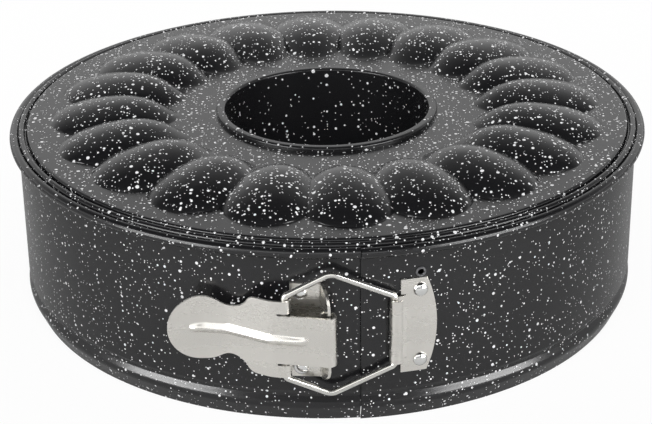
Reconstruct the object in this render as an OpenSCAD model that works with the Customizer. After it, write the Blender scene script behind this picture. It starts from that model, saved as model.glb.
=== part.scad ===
// Springform cake tin with two bases: a sprung side ring that an over-centre latch
// draws shut, a flat base held in the ring's groove, and a fluted ring-mould base
// with its centre tube, stored upside down on top of the rim.
// Millimetres. The origin is on the ring's axis, on the table; the latch faces -Y.

/* [Side ring] */
// Outer radius of the closed ring's wall
wall_r = 130.5; // [115:0.5:145]
// Height of the middle of the rolled rim above the table
rim_z = 72.3; // [66:0.1:90]
// Thickness of the ring's sheet
band_t = 0.5; // [0.4:0.05:0.7]
// Outer radius of the roll along the rim
rim_roll_r = 2.05; // [1.6:0.05:2.5]
// Height of the waist that closes the groove from above
waist_z = 11.5; // [11:0.1:13]
// How far the waist is pressed in behind the wall
waist_in = 0.9; // [0.5:0.05:1.2]
// Height of the widest place of the groove
groove_z = 7.3; // [7:0.1:8]
// How far the groove stands proud of the wall
groove_out = 0.65; // [0.4:0.05:0.9]
// How far the foot's lower edge lies behind the wall
foot_in = 2.75; // [2:0.05:3.5]
// Height of the fold along the foot's lower edge
hem_h = 1.6; // [1:0.1:2.5]

/* [Overlap of the ring's ends] */
// Where the outer layer ends, to the right of the latch's middle
lap_edge_x = 11.7; // [10:0.1:16]
// Where the tongue of the inner layer ends
lap_tail_x = 28; // [24:0.5:29]
// Gap between the two rolled rims where they meet end to end
lap_gap = 0.25; // [0.2:0.05:1]
// Angle from the front at which the outer layer starts to spread
lap_blend = 60; // [50:1:75]
// How much larger the spread layer's radius is
lap_spread = 2; // [1.9:0.1:3]
// Radius of the hanging hole
hang_hole_r = 1.2; // [0.8:0.1:1.6]
// Width of the raised collar round the hanging hole
hang_collar_w = 0.8; // [0.6:0.1:1.2]
// Height of the hanging hole above the latch's middle
hang_hole_up = 21.6; // [21.4:0.1:24]

/* [Bases] */
// Thickness of both bases' sheet
base_t = 0.6; // [0.4:0.05:0.8]
// Outer radius of the roll along a base's edge
bead_r = 1.3; // [1.1:0.05:1.5]
// Play between a base's edge and the groove
base_fit = 0.3; // [0.2:0.05:0.6]
// Play where a base rests on the ring
seat_gap = 0.05; // [0.02:0.01:0.2]
// How far the floor stands out past the middle of the edge roll
floor_rise = 1.3; // [1:0.1:2]
// Width of the channel between the edge roll and the floor
channel_w = 2.6; // [2.2:0.1:4]

/* [Flutes] */
// Number of flutes
flute_count = 20; // [14:1:22]
// Angle from the front to the middle of the first flute
flute_phase = 4.5; // [0:0.5:18]
// Inner radius of the ring of flutes
flute_in_r = 62; // [56:0.5:66]
// Radius at which the flutes are highest
flute_top_r = 86; // [82:0.5:94]
// Outer radius of the ring of flutes
flute_out_r = 117.5; // [100:0.5:119]
// Height of the flutes' crests above the floor
flute_h = 8.8; // [5:0.1:12]
// How deep the valleys between the flutes are cut, as a share
flute_valley = 0.55; // [0.3:0.05:0.8]

/* [Centre tube] */
// Radius of the open hole
hole_r = 43.3; // [36:0.1:46]
// Width of the seam ring that clasps the base's collar
seam_w = 3.7; // [3.2:0.1:5]
// Height of the seam ring above the floor
seam_h = 2.2; // [2:0.1:4]
// Length of the tube
tube_len = 55; // [30:1:60]
// How much the tube narrows to its far end
tube_taper = 4; // [1:0.5:8]
// Width of the lip at the tube's far end
tube_lip = 3; // [1:0.5:5]

/* [Latch] */
// Height of the latch's middle above the table
latch_z = 40.2; // [36:0.1:46]
// Height of the bracket and of the keeper
plate_h = 39; // [37:0.5:42]
// Thickness of the bracket
bracket_t = 1; // [0.8:0.1:1.1]
// Left edge of the bracket
bracket_left_x = -14.5; // [-18:0.5:-14]
// Play between a fitting and the wall behind it
wall_gap = 0.05; // [0.02:0.01:0.1]
// Radius of the rounded corners of the bracket's fence
fence_corner_r = 8; // [3:0.5:8.5]
// Where the bend between the bracket's base and its fence lies
bracket_bend_x = -3; // [-4:0.1:-1.5]
// How far the bracket's rivets sit inside its ends
bracket_rivet_inset = 3.8; // [3.4:0.1:5]
// How far the keeper's rivets sit inside its ends
keeper_rivet_inset = 4.8; // [3.4:0.1:6]
// Where the bracket's rivets sit
bracket_rivet_x = -10.6; // [-10.9:0.1:-9.5]
// Where the keeper's rivets sit
keeper_rivet_x = 33.7; // [33.2:0.1:34]

/* [Lever] */
// Distance from the wall's front line out to the lever's pivot
pivot_out = 8.2; // [8:0.1:9]
// Where the lever's pivot is, to the right of the latch's middle
pivot_x = -0.4; // [-0.8:0.1:0]
// Thickness of the lever's sheet
lever_t = 0.9; // [0.7:0.05:1]
// Middle radius of the curl round the fence
curl_r = 2.75; // [2.5:0.05:2.9]
// Length of the lever's straight front
lever_front_len = 21.2; // [20:0.1:23]
// How far the finger end reaches past the pivot
lever_reach = 60.8; // [56:0.1:64]
// How far the dip before the finger end lies past the pivot
lever_dip_at = 46.8; // [44:0.1:50]
// How far the lever's wall side bend lies past the pivot
lever_bend_at = 36.8; // [34:0.1:40]
// How far the finger end stands in from the pivot's line
lever_end_in = 9.55; // [8:0.05:11]
// Radius of the lever's bends
lever_bend_r = 12; // [8:0.5:14]
// Half width of the tongue between the tabs
tongue_half = 10; // [8:0.1:10.2]
// Half width over the tabs
wing_half = 15.8; // [15:0.1:15.9]
// How far the slits begin past the pivot
slit_at = 18.9; // [18.5:0.1:20]
// How far the finger end's centre lies past the pivot
head_at = 46.9; // [44:0.1:48]
// Radius of the wings' shoulders
shoulder_r = 4; // [3:0.1:5]
// How far the wings' shoulders lie past the pivot
shoulder_at = 26.6; // [25:0.1:28]
// Width of the slits beside the tongue
slit_w = 0.8; // [0.5:0.1:1]
// Radius of the finger end
head_r = 13.1; // [11:0.1:13.8]
// Radius of the hollow between the finger end and the wings
neck_r = 7; // [5:0.5:9]
// Height of the pressed rib
rib_h = 1.5; // [0.8:0.1:1.8]
// Half width of the pressed rib at its foot
rib_half = 2.5; // [2:0.1:4]
// How far the rib's ends lie inside the finger end and past the pivot
rib_inset = 9; // [7:0.5:11]

/* [Wire bail] */
// Diameter of the wire
wire_d = 2.5; // [2:0.1:2.6]
// Play between the wire and the lever's tabs
hook_gap = 0.3; // [0.25:0.05:0.4]
// Half height of the loop at the lever's end
bail_left_half = 17; // [16.9:0.1:18]
// Half height of the loop at its widest
bail_mid_half = 25.2; // [23:0.1:27]
// Half height of the loop at the keeper
bail_right_half = 14.5; // [14.4:0.1:15.5]
// Where the loop is widest, from the lever's end
bail_mid_at = 17.1; // [12:0.1:22]

/* [Keeper] */
// Thickness of the keeper
keeper_t = 0.8; // [0.6:0.05:0.9]
// Right edge of the keeper at its middle
keeper_right_x = 40.2; // [39:0.1:42]
// How far the keeper's right edge bulges past its corners
keeper_bulge = 3.8; // [1:0.1:4]
// Where the wire lies in the keeper's curl
wire_x = 24.3; // [23.9:0.1:24.6]
// Distance from the wall's front line out to the wire in the keeper
wire_out = 1.6; // [1.4:0.1:2.2]
// Inner radius of the keeper's curl
keeper_curl_r = 1.85; // [1.75:0.05:2]
// Half height of the keeper's curl
keeper_curl_half = 13.1; // [12:0.1:13.1]

/* [Rivets] */
// Diameter of the rivets' heads
rivet_head_d = 5.6; // [4.5:0.1:5.8]
// Height of the rivets' heads
rivet_head_h = 1.5; // [1:0.1:1.6]
// Diameter of the rivets' shanks
rivet_d = 3; // [2.4:0.1:3.4]
// Thickness of the rivets' flat ends inside the ring
rivet_tail_h = 0.8; // [0.5:0.1:1.2]

/* [Hidden] */
$fn = 96;
coating = [0.13, 0.13, 0.14];
steel = [0.78, 0.77, 0.74];
aluminium = [0.86, 0.86, 0.87];
hole_play = 0.05;
// Where two lengths of one sheet or wire join, one is thicker by this on each side and takes
// in the other's end, so that no two faces lie in one another
join_step = 0.015;
far = 400;

// Ring profile, as radius and height of the middle of the sheet
band_r = wall_r - band_t / 2;
rim_mid_r = rim_roll_r - band_t / 2;
rim_c = [band_r + rim_mid_r, rim_z];
foot_pt = [band_r - foot_in, 0];
groove_pt = [band_r + groove_out, groove_z];
waist_pt = [band_r - waist_in, waist_z];
wall_foot_z = waist_z + 2.2;
wall_top_z = rim_z - rim_roll_r;

// Spread outer layer: its centre and radius, and the angles of both ends from the front
lap_c = lap_spread * [-sin(lap_blend), cos(lap_blend)];
lap_r = wall_r + lap_spread;
lap_end = asin((lap_edge_x - lap_c[0]) / lap_r);
main_end = asin((lap_edge_x - lap_gap) / wall_r);
tail_end = asin(lap_tail_x / wall_r);

// Bases: edge roll, its seat in the groove and on the rim, and the floor
base_r = wall_r - band_t + groove_out - base_fit;
bead_c_r = base_r - bead_r;
bead_mid_r = bead_r - base_t / 2;
step_r = bead_c_r - channel_w;
foot_dir = unit(groove_pt - foot_pt);
foot_seat = bead_r + band_t / 2 + seat_gap;
flat_bead_z = (foot_seat + foot_dir[1] * (bead_c_r - foot_pt[0])) / foot_dir[0];
rim_seat = rim_roll_r + bead_r + seat_gap;
top_bead_z = rim_z + sqrt(pow(rim_seat, 2) - pow(rim_c[0] - bead_c_r, 2));
floor_z = top_bead_z + floor_rise;
floor_top = floor_z + base_t / 2;

// Flutes: mesh steps, the crest's place, and the flat margin that the floor clasps
flute_steps = 8;
flute_rows = 6;
flute_margin = 1.5;
flute_bury = 0.8;
flute_skin = 0.04;

// Seam between the fluted base and the tube
tube_mid_r = hole_r + base_t / 2;
seam_mid_r = hole_r + seam_w - base_t / 2;
collar_r = seam_mid_r - base_t - 0.3;
seam_top = floor_top + seam_h;

// Lever: its straight front runs from the pivot's curl to the first bend
pivot = [pivot_x, -wall_r - pivot_out];
lever_tilt = atan(0.186);
lever_dir = [-cos(lever_tilt), sin(lever_tilt)];
lever_in = [sin(lever_tilt), cos(lever_tilt)];
curl_top = pivot - curl_r * lever_in;
lever_bends = [[-lever_bend_at, lever_end_in + 0.1], [-lever_dip_at, lever_end_in + 1.9], [-lever_reach, lever_end_in]];
lever_path = concat([for (p = [2:-1:0]) pivot + lever_bends[p]], [curl_top + lever_front_len * lever_dir]);
tab_len = 16.2;
slit_x = pivot_x - slit_at;
head_x = pivot_x - head_at;
shoulder_x = pivot_x - shoulder_at;
hook_r = wire_d / 2 + hook_gap + lever_t / 2;

// Wire bail: one bar in the lever's tabs, the other in the keeper's curl
bail_left = curl_top + tab_len * lever_dir + hook_r * lever_in;
bail_right = [wire_x, -wall_r - wire_out];
bail_len = norm(bail_right - bail_left);
bail_turn = atan2(bail_right[1] - bail_left[1], bail_right[0] - bail_left[0]);

// Fence of the bracket: the strip that the lever's curl runs round, and the slot behind it
strip_half = 1.2;
fence_y = pivot[1] - strip_half * 0.95;
slot_play = 0.4;
slot_d = 2.4;

// Keeper: its curl lies round the wire, which rests against the left side
keeper_c = bail_right + [keeper_curl_r - wire_d / 2 - hole_play, 0];
keeper_mid_r = keeper_curl_r + keeper_t / 2;
keeper_bend_x = keeper_c[0] + 3.8;
keeper_ear_x = keeper_c[0] + 1.6;
keeper_edge_r = (pow(plate_h / 2, 2) + pow(keeper_bulge, 2)) / (2 * keeper_bulge);

// Plane geometry that the sheet profiles share
function unit(v) = v / norm(v);
function left_of(v) = [-v[1], v[0]];
function turn(u, v) = atan2(u[0] * v[1] - u[1] * v[0], u * v);
function arc(c, r, a0, a1, n) =
    [for (i = [0:n]) c + r * [cos(a0 + (a1 - a0) * i / n), sin(a0 + (a1 - a0) * i / n)]];

// One bend of a bent sheet, as points on its arc
function bend(p, v, q, r, n) =
    let (u = unit(v - p), tau = turn(u, unit(q - v)), s = sign(tau))
    let (start = v - u * r * tan(abs(tau) / 2), out = -s * left_of(u), a = atan2(out[1], out[0]))
    arc(start - r * out, r, a, a + tau, n);

// A path whose inner corners are bent to one radius
function bent(path, r, n = 5) =
    let (last = len(path) - 1)
    [path[0], for (i = [1:last - 1]) each bend(path[i - 1], path[i], path[i + 1], r, n), path[last]];

// The normal at a path's point, lengthened at corners so that the sheet keeps its thickness
function mitre(path, i) =
    let (a = left_of(unit(path[max(i, 1)] - path[max(i, 1) - 1])))
    let (b = left_of(unit(path[min(i + 1, len(path) - 1)] - path[min(i, len(path) - 2)])))
    (a + b) / (1 + a * b);

// A sheet of thickness t whose middle follows a path
module ribbon(path, t) {
    n = len(path) - 1;
    sides = [for (i = [0:n]) mitre(path, i) * t / 2];
    polygon(concat([for (i = [0:n]) path[i] + sides[i]], [for (i = [n:-1:0]) path[i] - sides[i]]));
}

// A box from two opposite corners
module block(a, b) {
    translate(a) cube(b - a);
}

// An upright plate's outline, drawn as X and Z about the latch's middle, cut through in Y
module outline() {
    translate([0, far - wall_r, latch_z]) rotate([90, 0, 0]) linear_extrude(2 * far) children();
}

// A sheet bent in plan, as tall as h, centred on the latch's middle
module upright_sheet(path, t, h) {
    translate([0, 0, latch_z - h / 2]) linear_extrude(h) ribbon(path, t);
}

// Part of a ring between two angles, counted from the front towards +X
module sector(from, to) {
    rotate([0, 0, from - 90]) rotate_extrude(angle = to - from) children();
}

// Point on the outside of the main wall or of the spread layer at a given X
function wall_pt(x, off) = [x, -sqrt(pow(wall_r + off, 2) - pow(x, 2))];
function lap_pt(x, off) = [x, lap_c[1] - sqrt(pow(lap_r + off, 2) - pow(x - lap_c[0], 2))];

// Side ring

// Rolled rim, wall, waist, groove and tapering foot, in one sheet with a flat lower edge.
// The thicker length's free edges run on a little past the other's, too.
module band_profile(t) {
    more = 2 * (t - band_t);
    sunk_pt = foot_pt - 2 * foot_dir;
    foot = bent([sunk_pt, groove_pt, waist_pt, [band_r, wall_foot_z], [band_r, wall_top_z]], 1.8, 4);
    hem = left_of(foot_dir) * t * 0.98;
    intersection() {
        union() {
            ribbon(concat(foot, arc(rim_c, rim_mid_r, 180, -120 - 50 * more, 16)), t);
            ribbon([sunk_pt + hem, foot_pt + (hem_h + more) * foot_dir + hem], t);
        }
        square([far, far]);
    }
}

// The tongue of the inner layer has the wall's height only
module tongue_profile() {
    t = band_t - 2 * join_step;
    translate([band_r - t / 2, wall_foot_z + 0.5]) square([t, wall_top_z - wall_foot_z - 1]);
}

module spread_layer() {
    translate(lap_c) sector(lap_end, lap_blend)
        translate([lap_spread, 0]) band_profile(band_t + 2 * join_step);
}

// Aims what stands on +Z outwards through the wall of the main ring or of the spread layer
module on_wall(x, z) {
    translate([0, 0, z]) rotate([90, 0, asin(x / wall_r)]) translate([0, 0, wall_r]) children();
}
module on_lap(x, z) {
    translate([lap_c[0], lap_c[1], z]) rotate([90, 0, asin((x - lap_c[0]) / lap_r)])
        translate([0, 0, lap_r]) children();
}

// Height of a plate's upper or lower rivet
function rivet_z(s, inset) = latch_z + s * (plate_h / 2 - inset);

module rivet_hole() {
    translate([0, 0, -3]) cylinder(h = 6, r = rivet_d / 2 + hole_play);
}

module side_band() {
    color(coating) difference() {
        union() {
            sector(lap_blend - 0.05, 360 + main_end) band_profile(band_t);
            sector(main_end - 1, tail_end) tongue_profile();
            spread_layer();
            on_lap(keeper_rivet_x + 0.2, latch_z + hang_hole_up)
                translate([0, 0, -0.3]) cylinder(h = 1, r = hang_hole_r + hang_collar_w);
        }
        on_lap(keeper_rivet_x + 0.2, latch_z + hang_hole_up)
            translate([0, 0, -3]) cylinder(h = 6, r = hang_hole_r);
        for (s = [-1, 1]) {
            on_wall(bracket_rivet_x, rivet_z(s, bracket_rivet_inset)) rivet_hole();
            on_lap(keeper_rivet_x, rivet_z(s, keeper_rivet_inset)) rivet_hole();
        }
    }
}

// Bases

// Edge of a base, outside up: floor, step down into the channel, and the roll
module base_edge(start_r) {
    channel = -bead_mid_r;
    step = [[start_r, floor_rise], [step_r, floor_rise], [step_r + 0.3, channel], [bead_c_r - 0.2, channel]];
    ribbon(concat(bent(step, 0.7, 4), arc([bead_c_r, 0], bead_mid_r, -90, 200, 14)), base_t);
}

module flat_base() {
    color(coating) translate([0, 0, flat_bead_z]) mirror([0, 0, 1]) rotate_extrude() base_edge(0);
}

// One point of the fluted sheet. The column runs round the ring, the row along the flute. Both ends
// of a flute are round and soft at the foot, the outer one is the steeper.
function flute_at(column, row, under) =
    let (a = 360 / flute_count * (column / flute_steps - 0.5) + flute_phase - 90)
    let (v = 2 * (column % flute_steps) / flute_steps - 1, w = sqrt(1 - flute_valley * v * v))
    let (s = sin(90 * row / flute_rows), skin = under ? base_t : 0)
    let (r = flute_top_r + s * w * ((s > 0 ? flute_out_r - flute_top_r : flute_top_r - flute_in_r) - skin))
    let (d = w * w * (1 - s * s), power = 0.75 + (s > 0 ? -0.25 : 0.55) * s * s)
    [r * cos(a), r * sin(a), floor_face(under) + flute_h * pow(d * d / (d + 0.05), power)];
function floor_face(under) = floor_top - (under ? base_t - flute_skin : flute_skin);
function margin_at(column, r, under) =
    let (a = 360 / flute_count * (column / flute_steps - 0.5) + flute_phase - 90)
    [r * cos(a), r * sin(a), floor_face(under)];

// The fluted sheet: a grid above, a grid below, and a wall along the inner and outer margins
module flute_ring() {
    columns = flute_count * flute_steps;
    rows = 2 * flute_rows + 3;
    layer = columns * rows;
    points = [for (under = [false, true]) for (c = [0:columns - 1]) each concat(
        [margin_at(c, flute_in_r - flute_margin, under)],
        [for (row = [-flute_rows:flute_rows]) flute_at(c, row, under)],
        [margin_at(c, flute_out_r + flute_margin, under)])];
    function id(c, r, under) = (c % columns) * rows + r + (under ? layer : 0);
    faces = [for (c = [0:columns - 1]) each concat(
        [for (r = [0:rows - 2]) each [
            [id(c, r, false), id(c + 1, r + 1, false), id(c, r + 1, false)],
            [id(c, r, false), id(c + 1, r, false), id(c + 1, r + 1, false)],
            [id(c, r, true), id(c, r + 1, true), id(c + 1, r + 1, true)],
            [id(c, r, true), id(c + 1, r + 1, true), id(c + 1, r, true)]]],
        [[id(c, 0, false), id(c + 1, 0, true), id(c + 1, 0, false)],
         [id(c, 0, false), id(c, 0, true), id(c + 1, 0, true)],
         [id(c, rows - 1, false), id(c + 1, rows - 1, false), id(c + 1, rows - 1, true)],
         [id(c, rows - 1, false), id(c + 1, rows - 1, true), id(c, rows - 1, true)]])];
    polyhedron(points, faces);
}

module fluted_base() {
    inner_r = flute_in_r - flute_margin + flute_bury;
    outer_r = flute_out_r + flute_margin - flute_bury;
    color(coating) {
        flute_ring();
        rotate_extrude() {
            translate([0, top_bead_z]) base_edge(outer_r);
            collar_top = floor_top + seam_h / 2;
            ribbon(bent([[inner_r, floor_z], [collar_r, floor_z], [collar_r, collar_top]], 0.5, 3), base_t);
        }
    }
}

// Tapered tube whose upper edge is folded over the base's collar
module centre_tube() {
    top = seam_top - base_t / 2;
    end_z = seam_top - tube_len;
    end_r = tube_mid_r - tube_taper;
    path = [[end_r - tube_lip, end_z], [end_r, end_z], [tube_mid_r, top], [seam_mid_r, top],
            [seam_mid_r, floor_top + seat_gap]];
    color(coating) rotate_extrude() ribbon(bent(path, 0.8, 4), base_t);
}

// Latch

// Base on the wall, and a fence that stands out and carries the lever's curl
module latch_bracket() {
    off = wall_gap + bracket_t / 2;
    feet = [for (i = [0:4]) wall_pt(bracket_left_x + (bracket_bend_x - bracket_left_x) * i / 5, off)];
    corner = wall_pt(bracket_bend_x, off);
    fence = unit(pivot - corner);
    edge = pivot + strip_half * fence;
    path = concat(feet, bend(feet[4], corner, edge, 1.3, 4), [edge]);
    half = plate_h / 2;
    core = half - fence_corner_r;
    color(steel) difference() {
        intersection() {
            upright_sheet(path, bracket_t, plate_h);
            translate([-far / 2, 0, latch_z]) rotate([90, 0, 90]) linear_extrude(far) {
                translate([fence_y + fence_corner_r, -half]) square([far, plate_h]);
                translate([fence_y, -core]) square([far, 2 * core]);
                for (s = [-1, 1]) translate([fence_y + fence_corner_r, s * core]) circle(fence_corner_r);
            }
        }
        translate([pivot[0], pivot[1], latch_z]) rotate([0, 0, atan2(fence[1], fence[0])])
            block([-strip_half - slot_d, -2, -tongue_half - slot_play], [-strip_half, 2, tongue_half + slot_play]);
        for (s = [-1, 1]) on_wall(bracket_rivet_x, rivet_z(s, bracket_rivet_inset)) rivet_hole();
    }
}

// Outline of the lever's finger end, neck and wings, left of the slits
module lever_outline() {
    shoulder = [shoulder_x, wing_half - shoulder_r];
    head = [head_x, 0];
    span = norm(shoulder - head);
    near = head_r + neck_r;
    beside = shoulder_r + neck_r;
    along = (near * near - beside * beside + span * span) / (2 * span);
    u = unit(shoulder - head);
    neck = head + along * u + sqrt(near * near - along * along) * left_of(u);
    head_touch = head + head_r * unit(neck - head);
    shoulder_touch = shoulder + shoulder_r * unit(neck - shoulder);
    translate(head) circle(head_r);
    for (s = [0, 1]) mirror([0, s]) {
        translate(shoulder) circle(shoulder_r);
        difference() {
            polygon([head, head_touch, neck, shoulder_touch, shoulder, [shoulder_x, 0]]);
            translate(neck) circle(neck_r);
        }
    }
    translate([shoulder_x, -wing_half]) square([slit_x - shoulder_x, 2 * wing_half]);
}

// The place and the direction at a distance s along a path
function along(path, s, i = 0) =
    let (step = path[i + 1] - path[i], d = norm(step))
    s <= d || i == len(path) - 2 ? [path[i] + s * step / d, step / d] : along(path, s - d, i + 1);
function path_len(path, i = 0) = i == len(path) - 1 ? 0 : norm(path[i + 1] - path[i]) + path_len(path, i + 1);

// A smooth swell along the path's outer side. It rises from the level base_off, measured outwards
// from the middle of the sheet, and its body reaches back to the level root_off.
module swell(path, from, to, h, half, base_off, root_off) {
    steps = 26;
    m = 8;
    points = [for (i = [0:steps])
        let (s = from + (to - from) * i / steps, at = along(path, s), out = -left_of(at[1]))
        let (end = min(1, min(s - from, to - s) / half), rise = h * sin(90 * end))
        each [for (j = [0:m + 2])
            let (z = half * (j > m ? (j == m + 1 ? 1 : -1) : 2 * j / m - 1))
            let (off = j > m ? root_off : base_off + rise * pow(cos(90 * z / half), 2))
            [at[0][0] + out[0] * off, at[0][1] + out[1] * off, latch_z + z]]];
    n = m + 3;
    sides = [for (i = [0:steps - 1]) for (j = [0:n - 1]) let (k = (j + 1) % n) each [
        [i * n + j, i * n + k, (i + 1) * n + k], [i * n + j, (i + 1) * n + k, (i + 1) * n + j]]];
    start_cap = [for (j = [1:n - 2]) [m + 1, (m + 2 + j) % n, (m + 1 + j) % n]];
    end_cap = [for (face = start_cap) [steps * n + face[0], steps * n + face[2], steps * n + face[1]]];
    polyhedron(points, concat(sides, start_cap, end_cap));
}

module latch_lever() {
    start = -90 - lever_tilt;
    front = bent(concat(lever_path, [curl_top]), lever_bend_r, 5);
    tongue = concat([for (i = [0:len(front) - 2]) front[i]], arc(pivot, curl_r, start, 150, 16));
    rib_to = path_len(front) - rib_inset + 2;
    tab_start = curl_top + (lever_front_len - 0.1) * lever_dir;
    tab = concat([tab_start], arc(bail_left, hook_r, start, 20, 8));
    color(steel) {
        difference() {
            union() {
                intersection() {
                    upright_sheet(tongue, lever_t, 2 * wing_half);
                    outline() {
                        lever_outline();
                        translate([slit_x, -tongue_half]) square([30, 2 * tongue_half]);
                    }
                }
                swell(front, rib_inset, rib_to, rib_h, rib_half, lever_t / 2 - 0.03, 0);
            }
            swell(front, rib_inset, rib_to, rib_h, rib_half - 0.4, -lever_t / 2 - 0.03, -lever_t);
        }
        for (s = [0, 1]) intersection() {
            upright_sheet(tab, lever_t, 2 * wing_half);
            outline() mirror([0, s]) translate([slit_x, tongue_half + slit_w])
                square([30, wing_half - tongue_half - slit_w]);
        }
    }
}

// Closed wire loop, in the plane through both bars
module wire_bail() {
    entry = 0.05;
    pts = [[0, -bail_left_half], [bail_mid_at, -bail_mid_half], [bail_len, -bail_right_half],
           [bail_len, bail_right_half], [bail_mid_at, bail_mid_half], [0, bail_left_half]];
    radii = [2, 5, 2, 2, 5, 2];
    n = len(pts);
    color(steel) translate([bail_left[0], bail_left[1], latch_z]) rotate([90, 0, bail_turn])
        for (i = [0:n - 1]) {
            p = pts[(i + n - 1) % n];
            v = pts[i];
            q = pts[(i + 1) % n];
            u = unit(v - p);
            w = unit(q - v);
            tau = turn(u, w);
            t = radii[i] * tan(tau / 2);
            t_next = radii[(i + 1) % n] * tan(turn(w, unit(pts[(i + 2) % n] - q)) / 2);
            centre = v - u * t + radii[i] * left_of(u);
            translate(centre) rotate([0, 0, atan2(u[1], u[0]) - 90])
                rotate_extrude(angle = tau) translate([radii[i], 0]) circle(d = wire_d + 2 * join_step);
            translate(v + w * (t - entry)) rotate([0, 90, atan2(w[1], w[0])])
                cylinder(h = norm(q - v) - t - t_next + 2 * entry, d = wire_d);
        }
}

// Plate riveted to the spread layer. Within the curl's height it steps out and curls round the wire.
module keeper_plate() {
    off = wall_gap + keeper_t / 2;
    curl_t = keeper_t - 2 * join_step;
    span = keeper_right_x - keeper_ear_x;
    plate = [for (i = [0:6]) lap_pt(keeper_right_x - span * i / 6, off)];
    start = lap_pt(keeper_bend_x + 0.4, off);
    corner = lap_pt(keeper_bend_x, off);
    jog = [keeper_c[0] + 1.9, keeper_c[1] + keeper_mid_r];
    half = plate_h / 2;
    relief = keeper_curl_half + 0.3;
    color(steel) difference() {
        union() {
            intersection() {
                upright_sheet(plate, keeper_t, plate_h);
                outline() difference() {
                    translate([keeper_right_x - keeper_edge_r, 0]) circle(keeper_edge_r);
                    translate([0, -relief]) square([keeper_bend_x, 2 * relief]);
                }
            }
            upright_sheet(concat([start, corner, jog], arc(keeper_c, keeper_mid_r, 90, 330, 14)), curl_t,
                          2 * keeper_curl_half);
        }
        for (s = [-1, 1]) on_lap(keeper_rivet_x, rivet_z(s, keeper_rivet_inset)) rivet_hole();
    }
}

// Domed rivet through a fitting of thickness t and the sheet, with its head on the fitting
module rivet(t) {
    head_z = wall_gap + t + hole_play;
    dome_r = (pow(rivet_head_d / 2, 2) + pow(rivet_head_h, 2)) / (2 * rivet_head_h);
    tail_z = -band_t - hole_play - rivet_tail_h;
    color(aluminium) rotate_extrude() {
        intersection() {
            translate([0, head_z + rivet_head_h - dome_r]) circle(dome_r);
            translate([0, head_z]) square([rivet_head_d, rivet_head_h]);
        }
        translate([0, tail_z]) square([rivet_d / 2, head_z + 0.5 - tail_z]);
        translate([0, tail_z]) square([rivet_d / 2 + 0.9, rivet_tail_h]);
    }
}
module bracket_rivet(s) {
    on_wall(bracket_rivet_x, rivet_z(s, bracket_rivet_inset)) rivet(bracket_t);
}
module keeper_rivet(s) {
    on_lap(keeper_rivet_x, rivet_z(s, keeper_rivet_inset)) rivet(keeper_t);
}
module bracket_rivet_upper() {
    bracket_rivet(1);
}
module bracket_rivet_lower() {
    bracket_rivet(-1);
}
module keeper_rivet_upper() {
    keeper_rivet(1);
}
module keeper_rivet_lower() {
    keeper_rivet(-1);
}

side_band();
flat_base();
fluted_base();
centre_tube();
latch_bracket();
latch_lever();
wire_bail();
keeper_plate();
bracket_rivet_upper();
bracket_rivet_lower();
keeper_rivet_upper();
keeper_rivet_lower();
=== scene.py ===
# %% [markdown]
# # A springform cake tin with a fluted ring-mould base
#
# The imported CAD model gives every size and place. This file gives it the looks: sheet metal that is
# rolled and pressed, a dark enamel with white specks, a plated latch and soft studio light.
# The tin's lengths are written in millimetres, as a tin maker would, and turned into metres at the
# end. The camera, the lights and the stage are placed in metres.

# %% Tools
import math

import bmesh
import bpy
import numpy as np
from mathutils import Matrix, Vector


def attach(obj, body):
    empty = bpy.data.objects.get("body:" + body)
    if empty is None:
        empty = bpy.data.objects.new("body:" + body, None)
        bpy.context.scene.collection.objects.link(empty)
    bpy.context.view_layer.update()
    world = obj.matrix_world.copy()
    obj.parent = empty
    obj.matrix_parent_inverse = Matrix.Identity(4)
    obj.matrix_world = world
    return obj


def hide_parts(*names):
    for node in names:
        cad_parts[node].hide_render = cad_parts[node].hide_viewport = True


MM = 0.001

# %% Load the frame
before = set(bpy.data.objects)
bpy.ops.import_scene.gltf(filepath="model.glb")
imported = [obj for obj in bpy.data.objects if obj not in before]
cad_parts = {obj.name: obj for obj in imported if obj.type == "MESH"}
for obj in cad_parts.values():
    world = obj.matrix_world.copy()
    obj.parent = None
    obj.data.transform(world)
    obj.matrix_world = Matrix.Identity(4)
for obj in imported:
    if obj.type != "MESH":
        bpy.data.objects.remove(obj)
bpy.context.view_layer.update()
scene = bpy.context.scene


# %% [markdown]
# ## The camera
#
# The photograph looks down on the tin by 25 degrees from the front. A constraint could point a camera
# at the tin, but it would stay level, and the real one leans by a little under a degree. So the three
# axes are worked out from pitch, yaw and roll, which were fitted to the rims that show in the photo.
# A long lens keeps the round rims close to true ellipses.

# %% Camera
CAMERA_AT = (0.0, -0.7428, 0.3746)
PITCH = math.radians(25.064)
YAW = -0.0012
ROLL = -0.0129
SENSOR_MM = 36.0
LENS_IN_SENSORS = 1875 / 652
NEAREST = 0.05
FARTHEST = 20.0


def axes_of_view(pitch, yaw, roll):
    """The camera's right, up and forward directions."""
    forward = Vector((math.sin(yaw) * math.cos(pitch), math.cos(yaw) * math.cos(pitch), -math.sin(pitch)))
    level = Vector((math.cos(yaw), -math.sin(yaw), 0.0))
    above = level.cross(forward)
    right = level * math.cos(roll) + above * math.sin(roll)
    up = above * math.cos(roll) - level * math.sin(roll)
    return right, up, forward


lens = bpy.data.cameras.new("photo_lens")
lens.sensor_width = SENSOR_MM
lens.lens = LENS_IN_SENSORS * SENSOR_MM
lens.clip_start = NEAREST
lens.clip_end = FARTHEST
camera = bpy.data.objects.new("photo_camera", lens)
scene.collection.objects.link(camera)
right, up, forward = axes_of_view(PITCH, YAW, ROLL)
turn = Matrix((right, up, -forward)).transposed()
camera.matrix_world = Matrix.Translation(CAMERA_AT) @ turn.to_4x4()
scene.camera = camera
print("lens in mm:", round(lens.lens, 1))

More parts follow.
